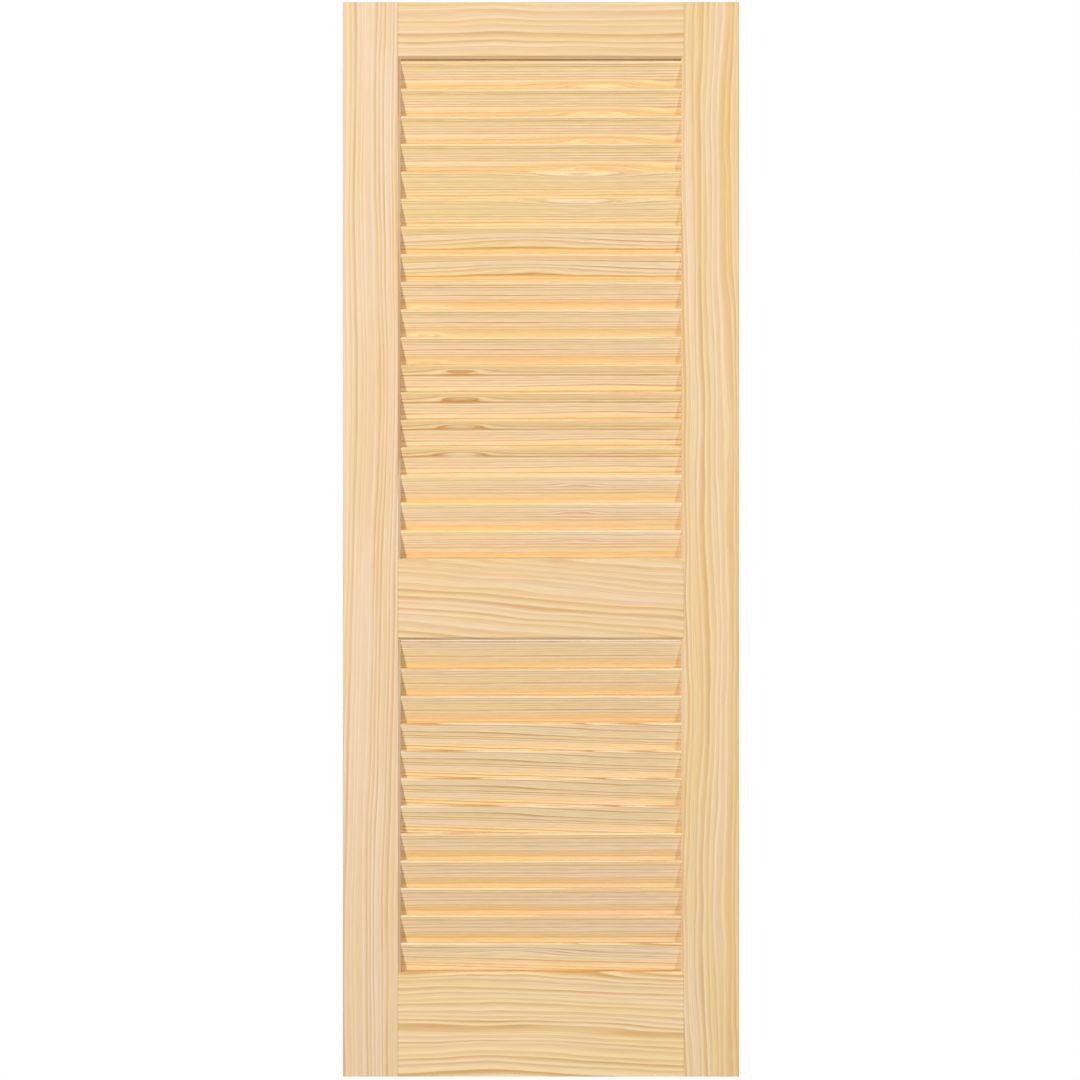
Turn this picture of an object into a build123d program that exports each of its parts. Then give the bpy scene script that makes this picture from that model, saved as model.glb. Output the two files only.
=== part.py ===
from build123d import *
import math
import os

# Louvered wooden door leaf, sizes in millimetres.
# +X runs across the leaf to its right-hand stile, -Y is the front face and +Z is up.
# The origin is the middle of the top edge, where the leaf is hung.

# Leaf
door_width = 749.3
door_height = 2032.0
door_thickness = 34.9
edge_ease = 1.0

# Frame members, each measured over its moulded edge
stile_width = 109.0
top_rail_height = 107.2
middle_rail_height = 153.2
bottom_rail_height = 197.6
middle_rail_base = 825.6

# Bevel moulded on every edge that faces a panel, at 45 degrees
sticking = 5.0

# Louvers
upper_slat_count = 18
lower_slat_count = 12
slat_width = 57.15
slat_thickness = 7.0
slat_entry = 9.5

# Slots in the stiles, each set in from the bevels by a narrow flat
slot_shoulder = 0.5
slot_end_gap = 0.5
slot_clearance = 0.15

# Free height above and below the louvers of a panel
upper_top_gap = 2.6
lower_top_gap = 1.6
panel_bottom_gap = 0.6

# Places worked out from the driving sizes
half_width = door_width / 2
half_thickness = door_thickness / 2
panel_half_width = half_width - stile_width
core_half_thickness = half_thickness - sticking
top_z = 0.0
bottom_z = -door_height
bottom_rail_top = bottom_z + bottom_rail_height
middle_rail_bottom = bottom_z + middle_rail_base
middle_rail_top = middle_rail_bottom + middle_rail_height
top_rail_bottom = top_z - top_rail_height

# Tilt of a louver from the vertical, its top edge forward, set by the depth between the bevels
edge_spacing = slat_width - slat_thickness
slat_depth = 2 * (core_half_thickness - slot_shoulder - slot_clearance)
tilt = math.degrees(math.asin((slat_depth - slat_thickness) / edge_spacing))
slat_rise = edge_spacing * math.cos(math.radians(tilt)) + slat_thickness

# Slot for the end of a louver, eight-sided so that each side just clears the round edges
slot_width = slat_thickness + 2 * slot_clearance
slot_corner = slot_width / (2 + math.sqrt(2))
slot_depth = slat_entry + slot_end_gap


# Heights of the louver centres between two rails, evenly spaced from the top down
def slat_centres(count, panel_bottom, panel_top, top_gap):
    lowest = panel_bottom + panel_bottom_gap + slat_rise / 2
    highest = panel_top - top_gap - slat_rise / 2
    pitch = (highest - lowest) / (count - 1)
    return [highest - i * pitch for i in range(count)]


upper_centres = slat_centres(upper_slat_count, middle_rail_top, top_rail_bottom, upper_top_gap)
lower_centres = slat_centres(lower_slat_count, bottom_rail_top, middle_rail_bottom, lower_top_gap)


# Section plane of a louver: its local x runs up the tilted blade, its normal along the leaf
def slat_plane(x, z):
    up_the_blade = (0, -math.sin(math.radians(tilt)), math.cos(math.radians(tilt)))
    return Plane(origin=(x, 0, z), x_dir=up_the_blade, z_dir=(1, 0, 0))


# Full-length stile with both inner corners moulded and a tilted slot for every louver,
# its corners cut back to follow the louver's round edges
def make_stile(side):
    outer = side * half_width
    inner = side * panel_half_width
    with BuildPart() as stile:
        with BuildSketch(Plane.XY.offset(bottom_z)):
            with Locations(((outer + inner) / 2, 0)):
                Rectangle(stile_width, door_thickness)
        extrude(amount=door_height)
        upright = stile.edges().filter_by(Axis.Z).group_by(Axis.X)
        inner_edges = upright[0] if side > 0 else upright[-1]
        chamfer(inner_edges, sticking)
        upright = stile.edges().filter_by(Axis.Z).group_by(Axis.X)
        outer_edges = upright[-1] if side > 0 else upright[0]
        chamfer(outer_edges, edge_ease)
        slot_start = inner if side > 0 else inner - slot_depth
        for z in upper_centres + lower_centres:
            with BuildSketch(slat_plane(slot_start, z)) as slot:
                Rectangle(slat_width + 2 * slot_clearance, slot_width)
                chamfer(slot.vertices(), slot_corner)
            extrude(amount=slot_depth, mode=Mode.SUBTRACT)
    return stile


# Rail moulded on each edge that faces a panel, its ends coped over the moulding of the stiles
def make_rail(low, high, panel_below, panel_above):
    arris_half_width = panel_half_width + sticking
    with BuildPart() as rail:
        with BuildSketch(Plane.XY.offset(low)):
            with BuildLine():
                Polyline(
                    (-arris_half_width, -half_thickness),
                    (arris_half_width, -half_thickness),
                    (panel_half_width, -core_half_thickness),
                    (panel_half_width, core_half_thickness),
                    (arris_half_width, half_thickness),
                    (-arris_half_width, half_thickness),
                    (-panel_half_width, core_half_thickness),
                    (-panel_half_width, -core_half_thickness),
                    close=True,
                )
            make_face()
        extrude(amount=high - low)
        long_edges = rail.edges().filter_by(Axis.X).group_by(Axis.Z)
        if panel_below:
            chamfer(long_edges[0], sticking)
        if panel_above:
            chamfer(long_edges[-1], sticking)
    return rail


# Louver with rounded long edges, reaching into a slot in each stile
def make_slat(z):
    half_length = panel_half_width + slat_entry
    with BuildPart() as slat:
        with BuildSketch(slat_plane(-half_length, z)):
            SlotCenterToCenter(edge_spacing, slat_thickness)
        extrude(amount=2 * half_length)
    return slat


os.makedirs("parts", exist_ok=True)

left_stile = make_stile(-1)
left_stile.part.label = "left_stile"
export_step(left_stile.part, "parts/left_stile.step")

right_stile = make_stile(1)
right_stile.part.label = "right_stile"
export_step(right_stile.part, "parts/right_stile.step")

top_rail = make_rail(top_rail_bottom, top_z, True, False)
top_rail.part.label = "top_rail"
export_step(top_rail.part, "parts/top_rail.step")

middle_rail = make_rail(middle_rail_bottom, middle_rail_top, True, True)
middle_rail.part.label = "middle_rail"
export_step(middle_rail.part, "parts/middle_rail.step")

bottom_rail = make_rail(bottom_z, bottom_rail_top, False, True)
bottom_rail.part.label = "bottom_rail"
export_step(bottom_rail.part, "parts/bottom_rail.step")

for panel, centres in (("upper", upper_centres), ("lower", lower_centres)):
    for number, z in enumerate(centres, start=1):
        slat = make_slat(z)
        slat.part.label = f"{panel}_slat_{number:02d}"
        export_step(slat.part, f"parts/{panel}_slat_{number:02d}.step")
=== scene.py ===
import math

import bpy
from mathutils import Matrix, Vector


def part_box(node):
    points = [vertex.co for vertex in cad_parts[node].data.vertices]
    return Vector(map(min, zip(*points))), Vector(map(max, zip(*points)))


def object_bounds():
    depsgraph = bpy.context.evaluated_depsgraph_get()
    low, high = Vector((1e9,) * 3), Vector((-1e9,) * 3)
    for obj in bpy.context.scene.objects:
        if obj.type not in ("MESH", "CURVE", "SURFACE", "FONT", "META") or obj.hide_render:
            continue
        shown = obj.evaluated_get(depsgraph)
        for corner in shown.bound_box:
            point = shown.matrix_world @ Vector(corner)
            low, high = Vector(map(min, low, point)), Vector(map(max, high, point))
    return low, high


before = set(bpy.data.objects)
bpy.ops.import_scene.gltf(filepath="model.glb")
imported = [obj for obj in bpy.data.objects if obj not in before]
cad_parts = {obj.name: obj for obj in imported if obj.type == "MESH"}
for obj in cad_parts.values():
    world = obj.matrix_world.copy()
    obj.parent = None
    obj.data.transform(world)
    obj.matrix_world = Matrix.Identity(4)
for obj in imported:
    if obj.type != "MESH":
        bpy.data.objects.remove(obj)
cad_low, cad_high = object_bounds()
front_y = cad_low.y
middle_z = cad_low.z / 2


def centre_of(node):
    low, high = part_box(node)
    return (low + high) / 2


# Camera: level, square to the leaf, a little off its middle

camera_distance = 6.0
view_height = 2.042
view_centre = Vector((-0.0018, 0.0, -1.0173))

camera_data = bpy.data.cameras.new("camera")
camera_data.sensor_width = 36.0
camera_data.lens = camera_data.sensor_width * camera_distance / view_height
camera = bpy.data.objects.new("camera", camera_data)
camera.location = (view_centre.x, front_y - camera_distance, view_centre.z)
camera.rotation_euler = (math.radians(90), 0, 0)
bpy.context.scene.collection.objects.link(camera)
bpy.context.scene.camera = camera


# Shader graphs, one short call for each node

class Graph:
    def __init__(self, tree):
        self.tree = tree
        self.tree.nodes.clear()

    def feed(self, socket, value):
        if isinstance(value, bpy.types.NodeSocket):
            self.tree.links.new(value, socket)
        else:
            socket.default_value = value

    def add(self, kind, values=None, **settings):
        node = self.tree.nodes.new(kind)
        for key, value in settings.items():
            setattr(node, key, value)
        for key, value in (values or {}).items():
            self.feed(node.inputs[key], value)
        return node

    def math(self, operation, *values):
        return self.add("ShaderNodeMath", dict(enumerate(values)), operation=operation).outputs[0]

    def vector(self, operation, *values):
        node = self.add("ShaderNodeVectorMath", dict(enumerate(values)), operation=operation)
        return node.outputs[0]

    def scale(self, vector, amount):
        node = self.add("ShaderNodeVectorMath", {0: vector, "Scale": amount}, operation="SCALE")
        return node.outputs[0]

    def join(self, x, y, z):
        return self.add("ShaderNodeCombineXYZ", {0: x, 1: y, 2: z}).outputs[0]

    def split(self, vector):
        return self.add("ShaderNodeSeparateXYZ", {0: vector}).outputs

    def noise(self, vector, detail=2.0, roughness=0.5):
        values = {"Vector": vector, "Scale": 1.0, "Detail": detail, "Roughness": roughness}
        return self.add("ShaderNodeTexNoise", values).outputs[0]

    def ease(self, value, start, end, low=0.0, high=1.0):
        node = self.add("ShaderNodeMapRange", {0: value, 1: start, 2: end, 3: low, 4: high},
                        interpolation_type="SMOOTHSTEP")
        return node.outputs[0]

    def mix(self, factor, first, second):
        node = self.add("ShaderNodeMix", data_type="RGBA")
        for index, value in ((0, factor), (6, first), (7, second)):
            self.feed(node.inputs[index], value)
        return node.outputs[2]


def new_graph(name):
    material = bpy.data.materials.new(name)
    material.use_nodes = True
    return material, Graph(material.node_tree)


def srgb(red, green, blue):
    """A display colour of 0 to 255 as the linear colour that the shader takes."""
    linear = []
    for level in (red, green, blue):
        level = level / 255
        linear.append(level / 12.92 if level <= 0.04045 else ((level + 0.055) / 1.055) ** 2.4)
    return (*linear, 1.0)


# Pine. All sizes of its figure are in millimetres.

mm_per_metre = 1000.0
late_full, late_edge = 0.86, 0.88       # shares of a ring where late wood is darkest, and ends
endless = 4000.0                        # a reach so long that nothing fades on the leaf
seed_step = 7.3
patch_length, patch_width = 260.0, 22.0
fibre_length, fibre_width = 45.0, 0.9
tone_length = 600.0
seam_inner, seam_outer, seam_dark = 0.5, 1.3, 0.72
bump_strength, bump_metres = 0.25, 0.0003
smoothest, roughest = 0.56, 0.66
wood_ior, wood_specular = 1.45, 0.3


def growth(g, rings, seed, start, floor):
    """How much late wood there is: it darkens slowly outward in each ring and ends sharply.
    No ring is fainter than floor."""
    part = g.math("FRACT", rings)
    number = g.math("FLOOR", rings)
    late = g.math("MULTIPLY", g.ease(part, start, late_full),
                  g.ease(part, late_edge, 1.0, 1.0, 0.0))
    chance = g.add("ShaderNodeTexWhiteNoise", {"Vector": g.join(number, seed, 0.0)},
                   noise_dimensions="3D").outputs[0]
    return g.math("MULTIPLY", late, g.ease(chance, 0.0, 1.0, floor, 1.0))


def bump_of(g, along, across, eye):
    """A rounded rise in the grain at one place, as a small knot below the face makes."""
    where, height, reach, breadth, amount = eye
    a = g.math("DIVIDE", g.math("SUBTRACT", along, where), reach)
    b = g.math("DIVIDE", g.math("SUBTRACT", across, height), breadth)
    square = g.math("ADD", g.math("MULTIPLY", a, a), g.math("MULTIPLY", b, b))
    return g.math("MULTIPLY", g.math("EXPONENT", g.math("MULTIPLY", square, -1.0)), amount)


def place_in(g, board):
    """Millimetres along the grain, across the face and into the depth of a board."""
    place = g.add("ShaderNodeTexCoord").outputs["Object"]
    place = g.vector("SUBTRACT", place, board["centre"])
    if board.get("tilt"):
        place = g.add("ShaderNodeVectorRotate", {"Vector": place, "Angle": board["tilt"]},
                      rotation_type="X_AXIS").outputs[0]
    x, y, z = g.split(g.scale(place, mm_per_metre))
    return (x, z, y) if board["grain"] == "X" else (z, x, y)


def bend_of(g, board, along, across, depth):
    """How far the pith wanders: a lean, long bows, small eyes and waves of a few sizes."""
    bend = g.math("MULTIPLY", along, board["lean"])
    bows = [(where, 0.0, reach, endless, amount) for where, reach, amount in board["bows"]]
    for rise in bows + board.get("eyes", []):
        bend = g.math("ADD", bend, bump_of(g, along, across, rise))
    for step, (length, width, amount) in enumerate(board["waves"]):
        deep = g.math("ADD", g.math("DIVIDE", depth, width), board["seed"] + step * seed_step)
        spot = g.join(g.math("DIVIDE", along, length), g.math("DIVIDE", across, width), deep)
        wave = g.math("SUBTRACT", g.noise(spot, detail=1.0), 0.5)
        bend = g.math("ADD", bend, g.math("MULTIPLY", wave, amount * 2))
    return bend


def pine(name, board):
    """Pine cut from one board: growth rings round a pith line, wavy along the grain."""
    material, g = new_graph(name)
    along, across, depth = place_in(g, board)
    bend = bend_of(g, board, along, across, depth)
    seed = board["seed"] + len(board["waves"]) * seed_step

    # Growth rings, with finer ones between them, stronger in some patches than in others
    pith_across, pith_depth = board["pith"]
    side = g.math("SUBTRACT", g.math("SUBTRACT", across, pith_across), bend)
    deep = g.math("SUBTRACT", depth, pith_depth)
    radius = g.math("SQRT", g.math("ADD", g.math("MULTIPLY", side, side),
                                   g.math("MULTIPLY", deep, deep)))
    uneven = g.noise(g.join(g.math("DIVIDE", radius, board["ring"] * 2.3), seed, 0.0), detail=1.0)
    rings = g.math("ADD", g.math("DIVIDE", radius, board["ring"]),
                   g.math("MULTIPLY", uneven, board["uneven"]))
    late = growth(g, rings, seed, board["late"], board["faint"])
    fine_rings = g.math("ADD", g.math("DIVIDE", radius, board["fine_ring"]), uneven)
    fine = growth(g, fine_rings, seed + 1.7, 0.2, 0.1)
    patch = g.noise(g.join(g.math("DIVIDE", along, patch_length),
                           g.math("DIVIDE", across, patch_width), seed), detail=2.0)
    late = g.math("MULTIPLY", late, g.ease(patch, 0.25, 0.7, 0.6, 1.15))
    fine = g.math("MULTIPLY", fine, g.ease(patch, 0.3, 0.7, 1.0, 0.35))

    # Thin fibres, slow changes of tone, and bands of colour, some of them painted shade low on
    # the louvers
    fibre = g.noise(g.join(g.math("DIVIDE", along, fibre_length),
                           g.math("DIVIDE", g.math("SUBTRACT", across, bend), fibre_width),
                           g.math("DIVIDE", depth, fibre_width)), detail=3.0, roughness=0.6)
    tone = g.noise(g.join(g.math("DIVIDE", along, tone_length),
                          g.math("DIVIDE", side, board["tone"]), seed + 3.1), detail=2.0)
    colour = g.mix(g.ease(tone, 0.40, 0.60), board["pink"], board["yellow"])
    # Bands of colour along the grain: wood tone, and on the louvers also painted shade on the
    # low, recessed part of each slat
    for height, breadth, strength, tint in board.get("bands", []):
        band = bump_of(g, along, g.math("SUBTRACT", across, bend),
                       (0.0, height, endless, breadth, strength))
        colour = g.mix(band, colour, tint)
    colour = g.mix(g.math("MULTIPLY", late, board["contrast"]), colour, board["line"])
    colour = g.mix(g.math("MULTIPLY", fine, board["fine"]), colour, board["line"])
    colour = g.scale(colour, g.ease(fibre, 0.25, 0.75, *board["fibre"]))

    # A thin dark seam where the end of a rail meets the stiles
    if board.get("seam"):
        near = g.math("ABSOLUTE", g.math("SUBTRACT", g.math("ABSOLUTE", along), board["seam"]))
        colour = g.scale(colour, g.ease(near, seam_inner, seam_outer, seam_dark, 1.0))

    # Late wood and fibres stand a little proud of the soft early wood
    height = g.math("ADD", g.math("MULTIPLY", fibre, 0.5), g.math("MULTIPLY", late, 0.3))
    bump = g.add("ShaderNodeBump", {"Strength": bump_strength, "Distance": bump_metres,
                                    "Height": height})
    rough = g.ease(fibre, 0.2, 0.8, smoothest, roughest)
    shader = g.add("ShaderNodeBsdfPrincipled", {"Base Color": colour, "Roughness": rough,
                                                "Normal": bump.outputs[0]})
    shader.inputs["IOR"].default_value = wood_ior
    shader.inputs["Specular IOR Level"].default_value = wood_specular
    g.add("ShaderNodeOutputMaterial", {"Surface": shader.outputs[0]})
    return material


# What each kind of board looks like:
# ring and fine_ring are the widths of growth rings, uneven is how much they vary, late is where
# in a ring the dark wood starts, faint is the least strength of a ring, contrast and fine are the
# strengths of both kinds of line, tone is the width of a change of tone, and fibre is the range
# of brightness. A wave is a length, a width and a height.

stile_look = {
    "grain": "Z", "ring": 8.2, "uneven": 2.2, "late": 0.05, "faint": 0.35, "contrast": 0.85,
    "fine_ring": 2.9, "fine": 0.35, "tone": 30.0, "fibre": (0.94, 1.04),
    "pink": srgb(246, 220, 188), "yellow": srgb(244, 214, 170), "line": srgb(222, 176, 122),
    "waves": [(500.0, 60.0, 8.0), (150.0, 30.0, 2.2), (60.0, 14.0, 0.5)],
}
rail_half_length = 270.65
rail_look = {
    "grain": "X", "ring": 12.0, "uneven": 2.0, "late": 0.08, "faint": 0.4, "contrast": 0.85,
    "fine_ring": 3.7, "fine": 0.4, "tone": 24.0, "fibre": (0.93, 1.05), "seam": rail_half_length,
    "pink": srgb(247, 217, 178), "yellow": srgb(246, 214, 163), "line": srgb(219, 172, 108),
    "waves": [(240.0, 60.0, 9.0), (90.0, 30.0, 1.8), (40.0, 10.0, 0.6)],
}
louver_look = {
    "grain": "X", "ring": 4.2, "uneven": 1.6, "late": 0.25, "faint": 0.15, "contrast": 1.0,
    "fine_ring": 2.4, "fine": 0.45, "tone": 13.0, "fibre": (0.88, 1.08),
    "pink": srgb(255, 230, 192), "yellow": srgb(255, 227, 168), "line": srgb(214, 157, 86),
    "waves": [(260.0, 30.0, 2.0), (90.0, 12.0, 1.0), (35.0, 5.0, 0.4)],
}
# This orange is wood tone where a band sits high on a louver, and painted shade where a band sits
# low on a louver (across -14 to -18 mm)
orange_tone_and_painted_shade = srgb(240, 200, 130)
olive = srgb(246, 218, 156)
rose = srgb(253, 220, 184)
cream = srgb(255, 236, 200)

# What is special in one board, measured from its middle:
# a bow is a place along the grain, a reach and a height; an eye is a place along, a place across,
# a reach, a breadth and a height; a band is a place across, a breadth, a strength and a colour.
# The left stile bows to the right above its middle and leans right below it.

stiles = {
    "left_stile": {"lean": 0.008, "bows": [(260.0, 260.0, 9.0), (-700.0, 300.0, -6.0)],
                   "pith": (-210.0, 90.0), "seed": 11.0,
                   "bands": [(-51.0, 4.0, 0.8, srgb(244, 220, 160))]},
    "right_stile": {"lean": -0.004, "ring": 11.0, "contrast": 0.72, "line": srgb(220, 168, 102),
                    "pink": srgb(248, 222, 184), "yellow": srgb(245, 216, 164), "fine": 0.4,
                    "waves": [(380.0, 50.0, 12.0), (120.0, 26.0, 4.0), (50.0, 12.0, 0.7)],
                    "bows": [(700.0, 350.0, -12.0), (-800.0, 300.0, -10.0)],
                    "pith": (-230.0, 70.0), "seed": 42.0,
                    "bands": [(44.0, 9.0, 0.45, srgb(240, 196, 122))]},
}
rails = {
    "top_rail": {"lean": 0.0, "bows": [(-85.0, 60.0, 5.0)], "pith": (-170.0, 80.0), "seed": 91.0},
    "middle_rail": {"lean": -0.08, "bows": [], "pith": (-180.0, 70.0), "seed": 114.0},
    "bottom_rail": {"ring": 10.0, "lean": -0.02, "contrast": 1.0, "bows": [(-60.0, 190.0, 10.0)],
                    "pink": srgb(253, 224, 182), "yellow": srgb(252, 222, 168),
                    "pith": (-200.0, 80.0), "seed": 137.0},
}
# Neighbouring louvers come from one board, so a run of them has almost the same figure. The
# orange bands low on a louver (across -14 to -18 mm) are painted shade on its recessed bottom
# edge; the orange bands higher up are wood tone.
louver_runs = [
    {"panel": "upper", "first": 1, "last": 4, "seed": 200.0,
     "bands": [(18.0, 9.0, 0.7, olive), (2.0, 8.0, 0.5, rose), (-18.0, 6.0, 0.6, orange_tone_and_painted_shade)],
     "eyes": [(112.0, -16.0, 90.0, 6.0, 9.0), (240.0, -14.0, 50.0, 6.0, -6.0)]},
    {"panel": "upper", "first": 5, "last": 6, "seed": 209.0, "contrast": 0.6,
     "bands": [(0.0, 20.0, 0.6, olive)],
     "eyes": [(70.0, 19.0, 120.0, 8.0, -10.0)]},
    {"panel": "upper", "first": 7, "last": 8, "seed": 218.0, "ring": 5.2,
     "bands": [(20.0, 6.0, 0.6, orange_tone_and_painted_shade), (4.0, 8.0, 0.6, cream), (-18.0, 8.0, 0.6, orange_tone_and_painted_shade)],
     "eyes": [(-30.0, 4.0, 170.0, 14.0, 12.0)]},
    {"panel": "upper", "first": 9, "last": 11, "seed": 227.0,
     "bands": [(8.0, 12.0, 0.6, rose), (-16.0, 8.0, 0.8, orange_tone_and_painted_shade)],
     "eyes": [(-215.0, -18.0, 45.0, 6.0, 8.0)]},
    {"panel": "upper", "first": 12, "last": 15, "seed": 236.0,
     "bands": [(20.0, 7.0, 0.6, orange_tone_and_painted_shade), (-4.0, 12.0, 0.5, rose)],
     "eyes": [(-150.0, 19.0, 60.0, 6.0, 10.0), (130.0, -8.0, 120.0, 6.0, 3.0)]},
    {"panel": "upper", "first": 16, "last": 18, "seed": 245.0, "contrast": 0.6,
     "bands": [(4.0, 12.0, 0.6, rose), (-18.0, 7.0, 0.8, orange_tone_and_painted_shade)],
     "eyes": [(65.0, 12.0, 40.0, 5.0, 5.0)]},
    {"panel": "lower", "first": 1, "last": 3, "seed": 254.0, "contrast": 0.75,
     "bands": [(-14.0, 9.0, 0.7, orange_tone_and_painted_shade)]},
    {"panel": "lower", "first": 4, "last": 7, "seed": 263.0, "lean": -0.03,
     "bands": [(10.0, 12.0, 0.5, cream)],
     "eyes": [(-60.0, 18.0, 150.0, 10.0, 6.0)]},
    {"panel": "lower", "first": 8, "last": 11, "seed": 272.0, "contrast": 0.6,
     "bands": [(12.0, 9.0, 0.6, rose), (-14.0, 9.0, 0.6, orange_tone_and_painted_shade)]},
    {"panel": "lower", "first": 12, "last": 12, "seed": 281.0, "lean": -0.03,
     "bands": [(8.0, 12.0, 0.5, cream)],
     "eyes": [(-40.0, 14.0, 120.0, 9.0, 8.0)]},
]
louver_tilt = math.radians(19.3)
louver_lean = 0.004
pith_step = 0.8                         # from one louver of a run to the next


def finish_node(node, look, own):
    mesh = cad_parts[node].data
    mesh.materials.clear()
    mesh.materials.append(pine(node, {**look, "centre": centre_of(node), **own}))


for node, own in stiles.items():
    finish_node(node, stile_look, own)
for node, own in rails.items():
    finish_node(node, rail_look, own)
for run in louver_runs:
    for number in range(run["first"], run["last"] + 1):
        pith = (-90.0 + pith_step * (number - run["first"]), 60.0)
        finish_node(f"{run['panel']}_slat_{number:02d}", louver_look,
                    {"lean": louver_lean, "bows": [], **run, "tilt": -louver_tilt, "pith": pith})


# Plain white stage, seen by the camera only, so that it throws no light through the louvers

backdrop_radius = 30.0
floor_radius = 20.0
floor_gap = 0.010


def white_stage(name):
    """Make the new mesh a plain white piece of the stage."""
    thing = bpy.context.object
    thing.name = name
    material, g = new_graph(name + "_white")
    glow = g.add("ShaderNodeEmission", {"Color": (1.0, 1.0, 1.0, 1.0), "Strength": 1.0})
    g.add("ShaderNodeOutputMaterial", {"Surface": glow.outputs[0]})
    thing.data.materials.append(material)
    thing.visible_diffuse = False
    thing.visible_glossy = False
    thing.visible_transmission = False
    thing.visible_volume_scatter = False
    thing.visible_shadow = False


bpy.ops.mesh.primitive_uv_sphere_add(segments=64, ring_count=32, radius=backdrop_radius,
                                     location=view_centre)
white_stage("backdrop")
bpy.ops.mesh.primitive_circle_add(vertices=96, radius=floor_radius, fill_type="NGON",
                                  location=(0, 0, cad_low.z - floor_gap))
white_stage("floor")


# Soft studio light

def add_light(name, azimuth, height, distance, size, power):
    """A round area light at an azimuth from the front, aimed at the middle of the leaf."""
    angle = math.radians(azimuth)
    data = bpy.data.lights.new(name, "AREA")
    data.shape = "DISK"
    data.size = size
    data.energy = power
    light = bpy.data.objects.new(name, data)
    light.location = (math.sin(angle) * distance, -math.cos(angle) * distance, height)
    aim = Vector((0, 0, middle_z)) - light.location
    light.rotation_euler = aim.to_track_quat("-Z", "Y").to_euler()
    bpy.context.scene.collection.objects.link(light)


add_light("key", -35.0, -0.2, 7.0, 0.7, 286.0)
add_light("fill", 38.0, -1.4, 6.0, 0.45, 96.0)
add_light("top", 0.0, 5.0, 5.5, 2.0, 160.0)
add_light("back", 150.0, 1.8, 6.0, 2.0, 480.0)

# The surroundings are a little brighter above than below
sky_below, sky_above = 0.12, 0.20
world = bpy.data.worlds.new("studio")
world.use_nodes = True
bpy.context.scene.world = world
g = Graph(world.node_tree)
up = g.split(g.add("ShaderNodeTexCoord").outputs["Generated"])[2]
level = g.ease(up, -0.6, 0.6, sky_below, sky_above)
sky = g.add("ShaderNodeBackground", {"Color": (1.0, 1.0, 1.0, 1.0), "Strength": level})
g.add("ShaderNodeOutputWorld", {"Surface": sky.outputs[0]})

bpy.context.scene.view_settings.view_transform = "Standard"
